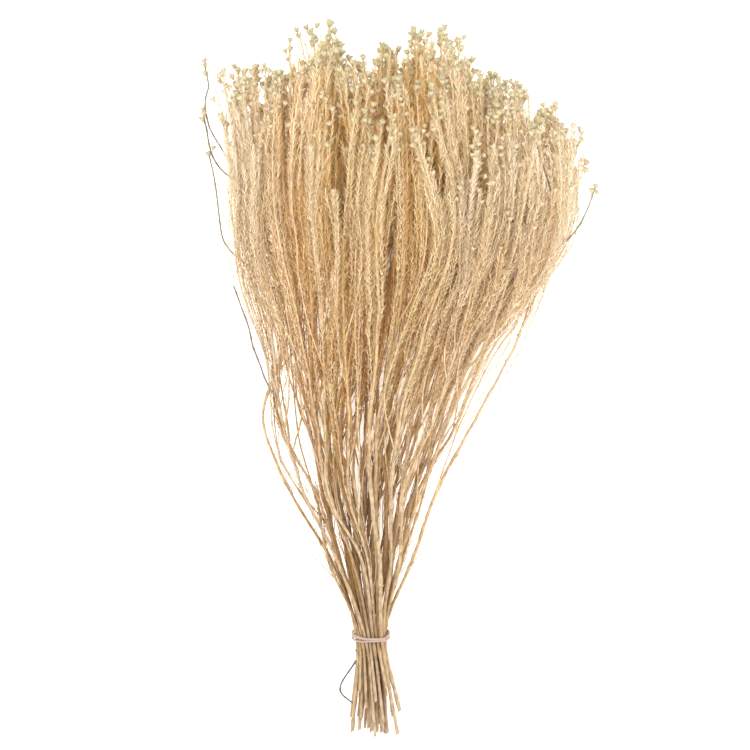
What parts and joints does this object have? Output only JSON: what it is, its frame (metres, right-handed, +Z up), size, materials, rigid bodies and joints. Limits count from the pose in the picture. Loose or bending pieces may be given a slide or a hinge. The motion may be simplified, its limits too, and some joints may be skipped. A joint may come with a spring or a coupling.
{
  "type": "dried flower bunch",
  "caption": "A long fan-shaped bunch of thin dried stems with small flower heads, lying down, bound near its cut ends by a wound elastic band.",
  "frame": {"origin": "middle of the underside of the bunch's bounding box, on the table it lies on", "axes": "+Y along the stems from the cut ends to the flower heads, +X across the bunch to the right as the picture shows it, +Z up from the table"},
  "size_m": [0.3358, 0.5986, 0.1291],
  "materials": {
    "stem": "dry matt stem, tan to pale straw",
    "leaf": "dry papery needle leaf, pale straw",
    "head": "dry papery flower head, pale cream",
    "tie": "matt elastic, pale pinkish cream"
  },
  "bodies": {
    "root": {"stem_01": "stem", "stem_02": "stem", "stem_03": "stem", "stem_04": "stem", "stem_05": "stem", "stem_06": "stem", "stem_07": "stem", "stem_08": "stem", "stem_09": "stem", "stem_10": "stem", "stem_11": "stem", "stem_12": "stem", "stem_13": "stem", "stem_14": "stem", "stem_15": "stem", "stem_16": "stem", "stem_17": "stem", "stem_18": "stem", "stem_19": "stem", "stem_20": "stem", "stem_21": "stem", "stem_22": "stem", "stem_23": "stem", "stem_24": "stem", "stem_25": "stem", "stem_26": "stem", "stem_27": "stem", "stem_28": "stem", "stem_29": "stem", "stem_30": "stem", "stem_31": "stem", "stem_32": "stem", "stem_33": "stem", "stem_34": "stem", "stem_35": "stem", "stem_36": "stem", "stem_37": "stem", "stem_38": "stem", "stem_39": "stem", "stem_40": "stem", "stem_41": "stem", "stem_42": "stem", "stem_43": "stem", "stem_44": "stem", "stem_45": "stem", "tie": "tie"}
  },
  "joints": []
}
